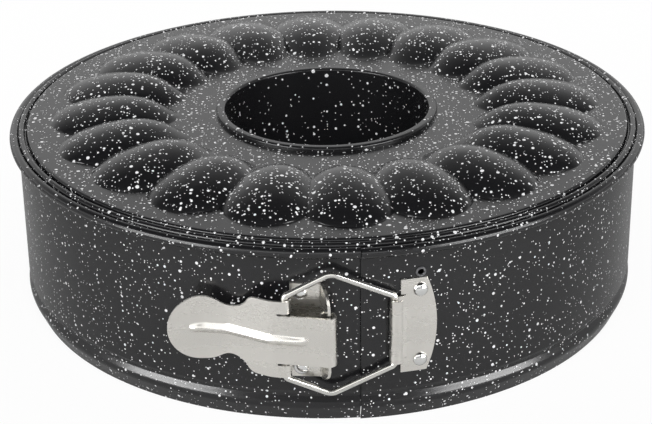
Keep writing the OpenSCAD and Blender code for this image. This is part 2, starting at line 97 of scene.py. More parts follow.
# %% [markdown]
# ## The studio
#
# A black shiny thing is lit by what it mirrors. One strong lamp would whiten the specks and still
# leave the enamel flat, so the gloss and the colours get lamps of their own. Two wide lamps and two
# low strips left and right are there for the gloss only, and draw the streaks along the rim and the
# groove. A small one in front does the same for the latch. One key lamp lights only the colours.

# %% Soft lights
TIN_MIDDLE = (0.0, 0.0, 0.05)
LATCH_MIDDLE = (-0.04, -0.14, 0.04)
WIDE_SIZE = (0.85, 0.40)
STRIP_SIZE = (0.85, 0.15)
WIDE_WATTS = 10.0
STRIP_WATTS = 6.5
GLOSS_LIGHTS = (
    ("light_left", (-1.05, -0.76, 0.60), WIDE_SIZE, WIDE_WATTS, TIN_MIDDLE),
    ("strip_left", (-1.05, -0.76, 0.08), STRIP_SIZE, STRIP_WATTS, TIN_MIDDLE),
    ("light_right", (1.05, -0.76, 0.60), WIDE_SIZE, WIDE_WATTS, TIN_MIDDLE),
    ("strip_right", (1.05, -0.76, 0.08), STRIP_SIZE, STRIP_WATTS, TIN_MIDDLE),
    ("light_front", (-0.1, -0.45, 0.235), (0.6, 0.22), 0.6, LATCH_MIDDLE))
KEY_LIGHT = ("light_key", (0.0, -0.85, 0.8), (1.0, 1.0), 12.0, TIN_MIDDLE)


def soft_light(name, place, size, watts, aim):
    """A rectangular area light that faces its aim. The camera doesn't see the light itself."""
    data = bpy.data.lights.new(name, "AREA")
    data.shape = "RECTANGLE"
    data.size, data.size_y = size
    data.energy = watts
    lamp = bpy.data.objects.new(name, data)
    scene.collection.objects.link(lamp)
    towards = Vector(aim) - Vector(place)
    lamp.matrix_world = Matrix.Translation(place) @ towards.to_track_quat("-Z", "Y").to_matrix().to_4x4()
    lamp.visible_camera = False
    return lamp


for light in GLOSS_LIGHTS:
    soft_light(*light).visible_diffuse = False
soft_light(*KEY_LIGHT).visible_glossy = False

# %% [markdown]
# ## Node helpers
#
# The card, the room, every finish and every Geometry Nodes tree is made of nodes. Each node could be
# made, set and linked in lines of its own, but then one sum takes five lines. With these helpers it
# takes one, and reads like the sum it is.

# %% Node helpers
def node(tree, kind, **settings):
    """A new node with plain settings by name."""
    made = tree.nodes.new(kind)
    for name, value in settings.items():
        setattr(made, name, value)
    return made


def feed(tree, value, socket):
    """Gives a socket a number, or a link from another node's output."""
    if isinstance(value, (int, float)):
        socket.default_value = value
    else:
        tree.links.new(value, socket)


def maths(tree, operation, *values):
    """A Math node that takes numbers or other nodes' outputs, and gives its own output."""
    made = node(tree, "ShaderNodeMath", operation=operation)
    for socket, value in zip(made.inputs, values):
        feed(tree, value, socket)
    return made.outputs[0]


def held(tree, value, low, high):
    """The value, kept between a low and a high number."""
    return maths(tree, "MINIMUM", maths(tree, "MAXIMUM", value, low), high)


def map_range(tree, value, source, target=(0.0, 1.0), curve="LINEAR"):
    """Runs over the target while the value runs over the source, and stays at the ends beyond it."""
    made = node(tree, "ShaderNodeMapRange", interpolation_type=curve)
    for label, limit in zip(("From Min", "From Max", "To Min", "To Max"), (*source, *target)):
        made.inputs[label].default_value = limit
    tree.links.new(value, made.inputs["Value"])
    return made.outputs["Result"]


# %% Shader helpers
def for_camera(tree, shown, mirrored):
    """One shader where the camera looks, and another for light and for what the tin mirrors."""
    either = node(tree, "ShaderNodeMixShader")
    tree.links.new(node(tree, "ShaderNodeLightPath").outputs["Is Camera Ray"], either.inputs["Fac"])
    tree.links.new(mirrored.outputs[0], either.inputs[1])
    tree.links.new(shown.outputs[0], either.inputs[2])
    return either.outputs[0]


def new_group(name, inputs, outputs):
    """An empty shader node group with named sockets: (name, kind, default)."""
    tree = bpy.data.node_groups.new(name, "ShaderNodeTree")
    for label, kind, default in inputs:
        socket = tree.interface.new_socket(label, in_out="INPUT", socket_type=kind)
        if default is not None:
            socket.default_value = default
    for label, kind in outputs:
        tree.interface.new_socket(label, in_out="OUTPUT", socket_type=kind)
    return tree, tree.nodes.new("NodeGroupInput"), tree.nodes.new("NodeGroupOutput")


# %% [markdown]
# ## The card and the room
#
# In the photo the flat floor and the far sides of the flutes mirror something pale over the tin, and
# the flutes' fronts stay nearly black. A lamp overhead would draw a hard edge in the gloss. So a
# glowing card hangs over the back, bright behind and fading towards the camera. The room round it is
# white low down, and dark overhead and a little towards the camera.

# %% Card
CARD_Z = 0.26
CARD_HALF_WIDTH = 0.70
CARD_ENDS_Y = (0.02, 0.62)
CARD_FADE_Y = (0.02, 0.30)
CARD_GLOW = (0.14, 0.98)
FACE_UP = (0, 1, 2, 3)
FACE_DOWN = (3, 2, 1, 0)


def stage_sheet(name, half_width, ends_y, z, face, material):
    """A flat rectangle of the stage."""
    low, high = ends_y
    corners = [(-half_width, low, z), (half_width, low, z), (half_width, high, z), (-half_width, high, z)]
    mesh = bpy.data.meshes.new(name)
    mesh.from_pydata(corners, [], [face])
    mesh.materials.append(material)
    sheet = bpy.data.objects.new(name, mesh)
    scene.collection.objects.link(sheet)
    return sheet


def card_glow():
    """Plain light that fades along the card."""
    material = bpy.data.materials.new("card glow")
    material.use_nodes = True
    tree = material.node_tree
    tree.nodes.remove(tree.nodes["Principled BSDF"])
    spot = node(tree, "ShaderNodeSeparateXYZ")
    tree.links.new(node(tree, "ShaderNodeTexCoord").outputs["Object"], spot.inputs[0])
    glow = node(tree, "ShaderNodeEmission")
    tree.links.new(map_range(tree, spot.outputs["Y"], CARD_FADE_Y, CARD_GLOW), glow.inputs["Strength"])
    tree.links.new(glow.outputs[0], tree.nodes["Material Output"].inputs["Surface"])
    return material


white_card = stage_sheet("white_card", CARD_HALF_WIDTH, CARD_ENDS_Y, CARD_Z, FACE_DOWN, card_glow())
white_card.visible_camera = False
white_card.visible_shadow = False
print("card hangs at", CARD_Z, "m")

# %% Room
DARK_TOWARDS = (0.0, -0.26, 0.966)
ROOM_STOPS = ((0.0, 0.95), (0.50, 0.95), (0.60, 0.95), (0.66, 0.50), (0.73, 0.06), (1.0, 0.03))


def white_room():
    """World light: white low down, dark overhead, and plain white where the camera looks."""
    world = bpy.data.worlds.new("studio_room")
    world.use_nodes = True
    tree = world.node_tree
    tree.nodes.clear()
    lean = node(tree, "ShaderNodeVectorMath", operation="DOT_PRODUCT")
    lean.inputs[1].default_value = DARK_TOWARDS
    tree.links.new(node(tree, "ShaderNodeTexCoord").outputs["Generated"], lean.inputs[0])
    ramp = node(tree, "ShaderNodeValToRGB")
    while len(ramp.color_ramp.elements) < len(ROOM_STOPS):
        ramp.color_ramp.elements.new(0.5)
    for element, (place, level) in zip(ramp.color_ramp.elements, ROOM_STOPS):
        element.position = place
        element.color = (level, level, level, 1.0)
    tree.links.new(map_range(tree, lean.outputs["Value"], (-1.0, 1.0)), ramp.inputs["Fac"])
    room = node(tree, "ShaderNodeBackground")
    tree.links.new(ramp.outputs["Color"], room.inputs["Color"])
    backdrop = node(tree, "ShaderNodeBackground")
    backdrop.inputs["Color"].default_value = (1.0, 1.0, 1.0, 1.0)
    out = node(tree, "ShaderNodeOutputWorld")
    tree.links.new(for_camera(tree, backdrop, room), out.inputs["Surface"])
    return world


scene.world = white_room()
scene.view_settings.view_transform = "Standard"
print("room:", len(ROOM_STOPS), "stops from the floor to the dark")

# %% [markdown]
# ## Specks
#
# The enamel is sprayed over with white drops of several sizes. A picture of drops would smear on the
# flutes. So each speck is the round middle of one cell of a Voronoi pattern in space, which is round
# on every surface, however that surface is bent. Most cells stay empty, and three layers give large,
# middling and fine specks. They are node groups, since every enamel uses them with its own values.

# %% One layer of specks
SPECK_EDGE = 0.05


def speck_layer_group():
    """White where a surface passes near the middle of a chosen cell."""
    tree, ins, outs = new_group(
        "Speck layer",
        [("Vector", "NodeSocketVector", None), ("Cell mm", "NodeSocketFloat", 2.0),
         ("Radius mm", "NodeSocketFloat", 0.4), ("Share", "NodeSocketFloat", 0.4)],
        [("Mask", "NodeSocketFloat")])
    scale = maths(tree, "DIVIDE", 1 / MM, ins.outputs["Cell mm"])
    cells = node(tree, "ShaderNodeTexVoronoi", voronoi_dimensions="3D", feature="F1")
    tree.links.new(ins.outputs["Vector"], cells.inputs["Vector"])
    tree.links.new(scale, cells.inputs["Scale"])
    chance = node(tree, "ShaderNodeSeparateColor")
    tree.links.new(cells.outputs["Color"], chance.inputs[0])
    chosen = maths(tree, "LESS_THAN", chance.outputs[0], ins.outputs["Share"])
    half_to_whole = maths(tree, "MULTIPLY_ADD", chance.outputs[1], 0.5, 0.5)
    radius = maths(tree, "MULTIPLY", half_to_whole, ins.outputs["Radius mm"])
    distance = maths(tree, "MULTIPLY", cells.outputs["Distance"], ins.outputs["Cell mm"])
    inside = maths(tree, "SUBTRACT", radius, distance)
    soft_edge = map_range(tree, inside, (-SPECK_EDGE, SPECK_EDGE), curve="SMOOTHSTEP")
    tree.links.new(maths(tree, "MULTIPLY", chosen, soft_edge), outs.inputs["Mask"])
    return tree


SPECK_LAYER = speck_layer_group()
print("speck layer:", len(SPECK_LAYER.nodes), "nodes")

# %% All the specks
# Each row: size of a cell, largest radius, share of cells with a speck, and a shift in metres.
SPECK_SIZES = ((3.1, 0.62, 0.40, 0.0), (2.0, 0.42, 0.45, 0.31), (1.25, 0.25, 0.55, 0.67))


def specks_group():
    """Large, middling and fine specks together. Plenty makes them denser."""
    tree, ins, outs = new_group(
        "Enamel specks",
        [("Vector", "NodeSocketVector", None), ("Plenty", "NodeSocketFloat", 1.0),
         ("Size", "NodeSocketFloat", 1.0)],
        [("Mask", "NodeSocketFloat")])
    total = None
    for cell, radius, share, shift in SPECK_SIZES:
        moved = node(tree, "ShaderNodeVectorMath", operation="ADD")
        moved.inputs[1].default_value = (shift, shift * 0.7, shift * 0.4)
        tree.links.new(ins.outputs["Vector"], moved.inputs[0])
        layer = node(tree, "ShaderNodeGroup", node_tree=SPECK_LAYER)
        tree.links.new(moved.outputs[0], layer.inputs["Vector"])
        layer.inputs["Cell mm"].default_value = cell
        tree.links.new(maths(tree, "MULTIPLY", ins.outputs["Size"], radius), layer.inputs["Radius mm"])
        tree.links.new(maths(tree, "MULTIPLY", ins.outputs["Plenty"], share), layer.inputs["Share"])
        mask = layer.outputs["Mask"]
        total = mask if total is None else maths(tree, "MAXIMUM", total, mask)
    tree.links.new(total, outs.inputs["Mask"])
    return tree


SPECKS = specks_group()
print("layers of specks:", len(SPECK_SIZES))

# %% [markdown]
# Nothing that is sprayed, baked and handled is evenly shiny. A painted map could say where it is dull,
# but it would need a layout for every piece. A second group gives slow, cloudy changes with a little
# fine grain in space instead, and both the enamel and the bare metal use it for their roughness.

# %% Handling marks
GRAIN_PART = 0.4


def handling_group():
    """A value round 0 that drifts slowly over the surface, with some fine grain in it."""
    tree, ins, outs = new_group(
        "Handling",
        [("Vector", "NodeSocketVector", None), ("Cloud mm", "NodeSocketFloat", 30.0),
         ("Grain mm", "NodeSocketFloat", 0.8), ("Amount", "NodeSocketFloat", 0.1)],
        [("Value", "NodeSocketFloat")])
    parts = []
    for label, detail in (("Cloud mm", 2.0), ("Grain mm", 1.0)):
        noise = node(tree, "ShaderNodeTexNoise")
        noise.inputs["Detail"].default_value = detail
        tree.links.new(ins.outputs["Vector"], noise.inputs["Vector"])
        tree.links.new(maths(tree, "DIVIDE", 1 / MM, ins.outputs[label]), noise.inputs["Scale"])
        parts.append(maths(tree, "SUBTRACT", noise.outputs[0], 0.5))
    both = maths(tree, "MULTIPLY_ADD", parts[1], GRAIN_PART, parts[0])
    tree.links.new(maths(tree, "MULTIPLY", both, ins.outputs["Amount"]), outs.inputs["Value"])
    return tree


HANDLING = handling_group()
print("handling marks:", len(HANDLING.nodes), "nodes")

# %% [markdown]
# ## Finishes
#
# The enamel is one coat: nearly black, semi-gloss, with the specks a hair's breadth proud of it and a
# faint ripple from the spraying. The latch's metal is bare plate with a drawn grain. Both could have a
# coat layer on top, but one gloss is what a baked coat has, so the plain Principled shader is enough.


# %% What the finishes share
def shader_start(name):
    """A material with its Principled shader and object coordinates."""
    material = bpy.data.materials.new(name)
    material.use_nodes = True
    tree = material.node_tree
    shader = tree.nodes["Principled BSDF"]
    place = node(tree, "ShaderNodeTexCoord").outputs["Object"]
    return material, tree, shader, place


def handled(tree, shader, place, rough, **values):
    """Roughness round one value, with handling marks. Gives the marks for use in a bump too."""
    marks = node(tree, "ShaderNodeGroup", node_tree=HANDLING)
    for label, value in values.items():
        marks.inputs[label.replace("_", " ").capitalize()].default_value = value
    tree.links.new(place, marks.inputs["Vector"])
    tree.links.new(maths(tree, "ADD", marks.outputs["Value"], rough), shader.inputs["Roughness"])
    return marks.outputs["Value"]


def bumped(tree, shader, height, depth_mm, strength):
    """Bump from a height that runs from 0 to about 1."""
    bump = node(tree, "ShaderNodeBump")
    bump.inputs["Distance"].default_value = depth_mm * MM
    bump.inputs["Strength"].default_value = strength
    tree.links.new(height, bump.inputs["Height"])
    tree.links.new(bump.outputs["Normal"], shader.inputs["Normal"])


# %% Enamel
SPECK_WHITE = (0.95, 0.95, 0.96)
CHARCOAL = (0.009, 0.009, 0.010)
COLLAR_GREY = (0.10, 0.10, 0.105)
SPECK_RISE = 0.6
RIPPLES_PER_METRE = 420.0


def enamel(name, tone, plenty, size, rough):
    """Dark speckled enamel, smooth but for a faint ripple of the sprayed coat."""
    material, tree, shader, place = shader_start(name)
    specks = node(tree, "ShaderNodeGroup", node_tree=SPECKS)
    tree.links.new(place, specks.inputs["Vector"])
    specks.inputs["Plenty"].default_value = plenty
    specks.inputs["Size"].default_value = size
    colour = node(tree, "ShaderNodeMix", data_type="RGBA")
    colour.inputs["A"].default_value = (*tone, 1.0)
    colour.inputs["B"].default_value = (*SPECK_WHITE, 1.0)
    tree.links.new(specks.outputs["Mask"], colour.inputs["Factor"])
    tree.links.new(colour.outputs["Result"], shader.inputs["Base Color"])
    handled(tree, shader, place, rough, amount=0.07)
    ripple = node(tree, "ShaderNodeTexNoise")
    ripple.inputs["Scale"].default_value = RIPPLES_PER_METRE
    tree.links.new(place, ripple.inputs["Vector"])
    raised = maths(tree, "MULTIPLY_ADD", specks.outputs["Mask"], SPECK_RISE, ripple.outputs[0])
    bumped(tree, shader, raised, 0.04, 0.35)
    shader.inputs["IOR"].default_value = 1.5
    return material


ring_enamel = enamel("ring enamel", CHARCOAL, plenty=0.87, size=1.07, rough=0.22)
collar_enamel = enamel("hole collar enamel", COLLAR_GREY, plenty=0.4, size=0.8, rough=0.3)
dish_enamel = enamel("fluted base enamel", CHARCOAL, plenty=0.98, size=1.31, rough=0.23)
tube_enamel = enamel("tube enamel", CHARCOAL, plenty=0.34, size=1.4, rough=0.23)
plate_enamel = enamel("flat base enamel", CHARCOAL, plenty=1.0, size=1.0, rough=0.27)
print("enamels over charcoal", CHARCOAL)

# %% Plated metal
PLATE_CLOUD_MM = 9.0
DRAWN_SIDEWAYS = (0.25, 0.25, 1.0)


def plated(name, tone, rough, grain, amount, stretch=(1.0, 1.0, 1.0)):
    """Bare plated metal with a fine grain, which a stretch draws out along the sheet."""
    material, tree, shader, place = shader_start(name)
    shader.inputs["Base Color"].default_value = (*tone, 1.0)
    shader.inputs["Metallic"].default_value = 1.0
    drawn = node(tree, "ShaderNodeMapping")
    drawn.inputs["Scale"].default_value = stretch
    tree.links.new(place, drawn.inputs["Vector"])
    sizes = {"cloud_mm": PLATE_CLOUD_MM, "grain_mm": grain, "amount": amount}
    bumped(tree, shader, handled(tree, shader, drawn.outputs[0], rough, **sizes), 0.02, 0.3)
    return material


latch_metal = plated("satin plated sheet", (0.72, 0.70, 0.66), 0.27, 0.5, 0.16, DRAWN_SIDEWAYS)
wire_metal = plated("bright plated wire", (0.70, 0.69, 0.66), 0.20, 0.6, 0.10)
rivet_metal = plated("bright rivet", (0.76, 0.76, 0.75), 0.15, 0.6, 0.10)
print("materials:", [m.name for m in bpy.data.materials])

# %% [markdown]
# ## Sheet outlines
#
# Every rolled part of the tin is one bent strip, seen in section. Its two sides could be drawn one by
# one, but then the thickness wanders at every bend. So the helpers below take the path that the middle
# of the sheet follows, round its corners, and give the strip its thickness. The same few numbers made
# the CAD solids, which is why a dressed piece lies where its solid does.


# %% Bent paths
def arc(centre, radius, start, end, steps):
    """Points on an arc, with angles in degrees."""
    angles = np.radians(np.linspace(start, end, steps + 1))
    return [np.array([centre[0] + radius * math.cos(a), centre[1] + radius * math.sin(a)]) for a in angles]


def unit(vector):
    """The vector at length 1."""
    return vector / np.linalg.norm(vector)


def left_of(vector):
    """The vector turned a quarter to the left."""
    return np.array([-vector[1], vector[0]])


def bent(path, radius, steps=8):
    """The path with each inner corner bent to one radius."""
    path = [np.array(p, float) for p in path]
    points = [path[0]]
    for before, corner, after in zip(path, path[1:], path[2:]):
        u = unit(corner - before)
        w = unit(after - corner)
        angle = math.degrees(math.atan2(u[0] * w[1] - u[1] * w[0], u @ w))
        side = math.copysign(1.0, angle)
        start = corner - u * radius * math.tan(math.radians(abs(angle)) / 2)
        out = -side * left_of(u)
        first = math.degrees(math.atan2(out[1], out[0]))
        points += arc(start - radius * out, radius, first, first + angle, steps)
    return points + [path[-1]]


def sheet_sides(path, thickness):
    """The two sides of a sheet whose middle follows the path: the left one and the right one."""
    path = np.array(path)
    steps = [unit(b - a) for a, b in zip(path, path[1:])]
    before = np.array([left_of(s) for s in steps[:1] + steps])
    after = np.array([left_of(s) for s in steps + steps[-1:]])
    normal = (before + after) / (1 + (before * after).sum(1))[:, None]
    return path + normal * thickness / 2, path - normal * thickness / 2


def sheet_outline(path, thickness):
    """The sheet's closed outline: up its left side and back down its right one."""
    left, right_side = sheet_sides(path, thickness)
    return list(left) + list(right_side[::-1])


# %% Points and faces
def quads_between(first, second, closed=True):
    """Faces between two rows of point numbers."""
    count = len(first)
    last = count if closed else count - 1
    return [(first[i], first[(i + 1) % count], second[(i + 1) % count], second[i]) for i in range(last)]


def lathe(outline, columns, start=0.0, closed=True):
    """An outline of (radius, height) points, spun round the axis."""
    count = len(outline)
    verts = []
    for column in range(columns):
        angle = start + 2 * math.pi * column / columns
        verts += [(r * math.cos(angle), r * math.sin(angle), z) for r, z in outline]
    rows = [list(range(i * count, (i + 1) * count)) for i in range(columns)]
    faces = [f for a, b in zip(rows, rows[1:] + rows[:1]) for f in quads_between(a, b, closed)]
    return verts, faces


def strip(columns):
    """A closed strip through rows of points, with both ends capped."""
    count = len(columns[0])
    verts = [p for column in columns for p in column]
    rows = [list(range(i * count, (i + 1) * count)) for i in range(len(columns))]
    faces = [f for a, b in zip(rows, rows[1:]) for f in quads_between(a, b)]
    return verts, faces + [tuple(rows[0][::-1]), tuple(rows[-1])]


def together(first, second):
    """Two lots of points and faces as one."""
    verts, faces = first
    more, more_faces = second
    return verts + more, faces + [tuple(i + len(verts) for i in f) for f in more_faces]


# %% Objects
SHARP_SHEET = 32.0


def finish_mesh(made, material, sharp=SHARP_SHEET):
    """Smooth shading that stops at sharp edges, and the material."""
    made.data.materials.clear()
    made.data.materials.append(material)
    made.data.shade_smooth()
    made.data.set_sharp_from_angle(angle=math.radians(sharp))


def new_object(name, mesh):
    """An object in the scene for a mesh."""
    made = bpy.data.objects.new(name, mesh)
    scene.collection.objects.link(made)
    return made


def link_mesh(name, verts, faces, material, slot):
    """A smooth object from points in millimetres, with its faces turned outwards."""
    mesh = bpy.data.meshes.new(name)
    mesh.from_pydata([tuple(float(c) * MM for c in v) for v in verts], [], faces)
    work = bmesh.new()
    work.from_mesh(mesh)
    bmesh.ops.remove_doubles(work, verts=work.verts, dist=1e-7)
    bmesh.ops.recalc_face_normals(work, faces=work.faces)
    work.to_mesh(mesh)
    work.free()
    made = new_object(name, mesh)
    finish_mesh(made, material)
    return made


def as_plain_mesh(made):
    """What the object's modifiers make, as a plain mesh with no modifiers left."""
    view = bpy.context.evaluated_depsgraph_get()
    result = bpy.data.meshes.new_from_object(made.evaluated_get(view))
    made.modifiers.clear()
    made.data = result
    return made


def outwards(made, open_sheet=False):
    """Turns a closed mesh's faces outwards, or those of an open sheet so that its flat part looks up."""
    work = bmesh.new()
    work.from_mesh(made.data)
    bmesh.ops.recalc_face_normals(work, faces=work.faces)
    if open_sheet:
        flattest = max(work.faces, key=lambda f: abs(f.normal.z) * f.calc_area())
        if flattest.normal.z < 0:
            bmesh.ops.reverse_faces(work, faces=work.faces)
    work.to_mesh(made.data)
    work.free()
    return made


# %% [markdown]
# ## The side ring
#
# The real ring is one long strip of tinplate with a rolled rim, a groove that grips the base, and a
# folded foot. It overlaps itself behind the latch. Spinning one section would close the ring and lose
# the overlap. So the section is carried round the plan of the strip, first along the outer layer,
# which spreads a little, and then along the whole ring.

# %% Ring section
SHEET = 0.5
BAND_R = 130.25
BAND_LOW_Z = 13.7
BAND_HIGH_Z = 70.25
RIM_CENTRE = (132.05, 72.3)
RIM_ROLL_R = 1.8
FOOT = np.array([127.5, 0.0])
GROOVE = np.array([130.9, 7.3])
WAIST = np.array([129.35, 11.5])
GROOVE_BEND = 4.0
WAIST_BEND = 1.8
HEM = 1.6
HEM_FACE = 0.74
FOOT_DIR = unit(GROOVE - FOOT)


def ring_section():
    """The closed outline of the ring's sheet, as radius and height."""
    flank = GROOVE + (WAIST - GROOVE) * 0.6
    path = bent([FOOT, GROOVE, flank], GROOVE_BEND, 14)
    path += bent([flank, WAIST, (BAND_R, BAND_LOW_Z), (BAND_R, BAND_HIGH_Z)], WAIST_BEND, 10)[1:]
    straight = np.linspace(path[-1], (BAND_R, RIM_CENTRE[1]), 4)[1:-1]
    path = path + list(straight) + arc(RIM_CENTRE, RIM_ROLL_R, 180, -120, 40)
    inner, outer = sheet_sides(path, SHEET)
    normal = left_of(FOOT_DIR)

    def on_table(point):
        """The point, slid along the foot until it touches the table."""
        return point - FOOT_DIR * point[1] / FOOT_DIR[1]

    hem_end = FOOT + FOOT_DIR * HEM
    fold = [on_table(FOOT + normal * HEM_FACE), hem_end + normal * HEM_FACE, hem_end + normal * SHEET / 2]
    return np.array(fold + list(inner[1:]) + list(outer[:0:-1]) + [on_table(outer[0])])


section = ring_section()
print("ring section:", len(section), "points, up to radius", round(section[:, 0].max(), 2))

# %% Ring plan
WALL_R = 130.5
SPREAD = 2.0
BLEND = 60.0
LAP_X = 11.7
LAP_GAP = 0.25
TAIL_X = 28.0
LAP_CENTRE = SPREAD * np.array([-math.sin(math.radians(BLEND)), math.cos(math.radians(BLEND))])
LAP_R = WALL_R + SPREAD
LAP_END = math.degrees(math.asin((LAP_X - LAP_CENTRE[0]) / LAP_R))
MAIN_END = math.degrees(math.asin((LAP_X - LAP_GAP) / WALL_R))
TAIL_END = math.degrees(math.asin(TAIL_X / WALL_R))
TONGUE = ((130.02, 14.2), (130.48, 14.2), (130.48, 69.7), (130.02, 69.7))


def column_at(outline, angle, centre=(0.0, 0.0), out=0.0):
    """The outline stood up in the plane through the axis, at an angle from the front."""
    a = math.radians(angle)
    x, y = centre
    return [(x + (r + out) * math.sin(a), y - (r + out) * math.cos(a), z) for r, z in outline]


def ring_mesh():
    """The outer layer and the ring in one strip, and the hidden tongue of the inner layer."""
    lap_angles = np.linspace(LAP_END, BLEND, 46)[:-1]
    main_angles = np.linspace(BLEND, 360 + MAIN_END, 256)
    columns = [column_at(section, a, LAP_CENTRE, SPREAD) for a in lap_angles]
    columns += [column_at(section, a) for a in main_angles]
    tongue = [column_at(TONGUE, a) for a in np.linspace(MAIN_END - 1, TAIL_END, 12)]
    return together(strip(columns), strip(tongue))


ring_sheet = link_mesh("ring_sheet", *ring_mesh(), ring_enamel, "coating_ring")
print("ring faces:", len(ring_sheet.data.polygons))

# %% [markdown]
# The small hanging hole has a raised, rolled collar. A dark disc on the wall would pass from afar, but
# close to it a hole has a lit edge and depth. So a cylinder is cut through the outer layer with a
# Boolean, and the collar is turned separately and stood on the wall round it.

# %% Hanging hole
HOLE_X = 33.9
HOLE_Z = 61.8
HOLE_R = 1.25
HOLE_DEPTH = 6.2


def on_lap(x, z):
    """A frame on the outer layer: its own Z points out of the wall, its Y points up."""
    angle = math.asin((x - LAP_CENTRE[0]) / LAP_R)
    out = Vector((math.sin(angle), -math.cos(angle), 0.0))
    side = Vector((math.cos(angle), math.sin(angle), 0.0))
    place = Vector((LAP_CENTRE[0], LAP_CENTRE[1], z)) + out * LAP_R
    return Matrix.Translation(place * MM) @ Matrix((side, Vector((0, 0, 1)), out)).transposed().to_4x4()


def hole_cutter():
    """A short cylinder through the wall."""
    work = bmesh.new()
    bmesh.ops.create_cone(
        work, cap_ends=True, segments=40, radius1=HOLE_R * MM, radius2=HOLE_R * MM, depth=HOLE_DEPTH * MM)
    mesh = bpy.data.meshes.new("hole_cutter")
    work.to_mesh(mesh)
    work.free()
    mesh.transform(on_lap(HOLE_X, HOLE_Z))
    return new_object("hole_cutter", mesh)


cutter = hole_cutter()
cut = ring_sheet.modifiers.new("hanging hole", "BOOLEAN")
cut.object = cutter
cut.operation = "DIFFERENCE"
cut.solver = "EXACT"
as_plain_mesh(ring_sheet)
bpy.data.objects.remove(cutter)
finish_mesh(ring_sheet, ring_enamel)
print("ring faces after the hole:", len(ring_sheet.data.polygons))

# %% Hole collar
COLLAR_IN = 1.2
COLLAR_OUT = 2.0
COLLAR_ROOT = -0.25
collar_roll = [tuple(p) for p in arc((1.6, 0.3), 0.4, 150, 0, 10)]
collar_outline = [(COLLAR_IN, COLLAR_ROOT), (COLLAR_IN, 0.42)] + collar_roll + [(COLLAR_OUT, COLLAR_ROOT)]
hole_collar = link_mesh("hole_collar", *lathe(collar_outline, 40), collar_enamel, "coating_ring")
hole_collar.data.transform(on_lap(HOLE_X, HOLE_Z))
print("collar faces:", len(hole_collar.data.polygons))

# %% Ring rides
for piece in (ring_sheet, hole_collar):
    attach(piece, "ring")
    print(piece.name, "rides on the ring")
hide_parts("side_band")

# %% [markdown]
# ## The flat base and the tube
#
# Both are turned shapes, so one outline spun round the axis gives the whole piece, and no modifier is
# needed. The flat base is a disc with a rolled edge that sits in the groove. The tube narrows
# downwards and is folded over the collar of the fluted base.

# %% Edge of a base
BASE_SHEET = 0.6
BEAD_R = 129.05
ROLL_R = 1.0
STEP_R = BEAD_R - 2.6
STEP_LEAN = 0.3
FLOOR_RISE = 1.3
EDGE_START = 125.0


def edge_path():
    """The floor, the step down into the channel, and the roll, seen outside up."""
    floor = [(EDGE_START, FLOOR_RISE), (STEP_R, FLOOR_RISE)]
    channel = [(STEP_R + STEP_LEAN, -ROLL_R), (BEAD_R - 0.2, -ROLL_R)]
    return bent(floor + channel, 0.7, 7) + arc((BEAD_R, 0.0), ROLL_R, -90, 200, 30)


print("a base reaches out to radius", BEAD_R + ROLL_R + BASE_SHEET / 2)

# %% Flat base
FLAT_Z = 7.118
FLAT_RINGS = (0.0, 30.0, 60.0, 90.0, 115.0, 124.0)


def flat_base_mesh():
    """The disc, upside down against the fluted base, so its smooth side looks up into the tin."""
    outline = sheet_outline([(r, FLOOR_RISE) for r in FLAT_RINGS] + edge_path(), BASE_SHEET)
    return lathe([(max(r, 0.0), FLAT_Z - z) for r, z in outline], 220)


flat_plate = link_mesh("flat_plate", *flat_base_mesh(), plate_enamel, "coating_flat_base")
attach(flat_plate, "ring")
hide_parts("flat_base")

# %% Centre tube
BEAD_Z = 73.9
FLOOR_Z = BEAD_Z + FLOOR_RISE
FLOOR_TOP = FLOOR_Z + BASE_SHEET / 2
SEAM_TOP = FLOOR_TOP + 2.2
TUBE_DROP = 55
TUBE_LIP_R = 36.6
TUBE_LOW_R = 39.6
TUBE_HIGH_R = 43.6
SEAM_R = 46.7


def tube_mesh():
    """The tapered tube with its lip below and its fold above."""
    top = SEAM_TOP - 0.3
    end = SEAM_TOP - TUBE_DROP
    taper = [(TUBE_LIP_R, end), (TUBE_LOW_R, end), (TUBE_HIGH_R, top)]
    path = bent(taper + [(SEAM_R, top), (SEAM_R, FLOOR_TOP + 0.05)], 0.8, 9)
    return lathe([tuple(p) for p in sheet_outline(path, BASE_SHEET)], 200)


seam_tube = link_mesh("seam_tube", *tube_mesh(), tube_enamel, "coating_tube")
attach(seam_tube, "ring")
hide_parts("centre_tube")
print("tube faces:", len(seam_tube.data.polygons))

# %% [markdown]
# ## The fluted base
#
# Twenty equal flutes are pressed into a flat ring of sheet. One flute could be modelled and copied
# round, but then the sheet has twenty seams. The flutes follow a rule, so Geometry Nodes make them.
# The tree bends a grid into a ring, pushes its rows to the scalloped outline of the flutes, and lifts
# each point by how deep it lies inside its flute. The turned edge comes in as the modifier's own mesh
# and is welded to the ring, so the whole base is one sheet.

# %% Sizes of the flutes
FLUTES = 20
PHASE = 4.5
PER_FLUTE = 20
HALF_ROWS = 15
MARGIN_ROWS = 3
INNER_CIRCLE = 60.0
OUTER_CIRCLE = 119.0
FLUTE_SIZES = {
    "Inner radius": 62.3, "Outer radius": 117.2, "Top radius": 86.0, "Height": 8.8, "Valley": 0.55}
INNER_FOOT_POWER = 0.55
OUTER_FOOT_POWER = -0.10
TOP_POWER = 0.75
print("flutes:", FLUTES, "each", 360 / FLUTES, "degrees wide")


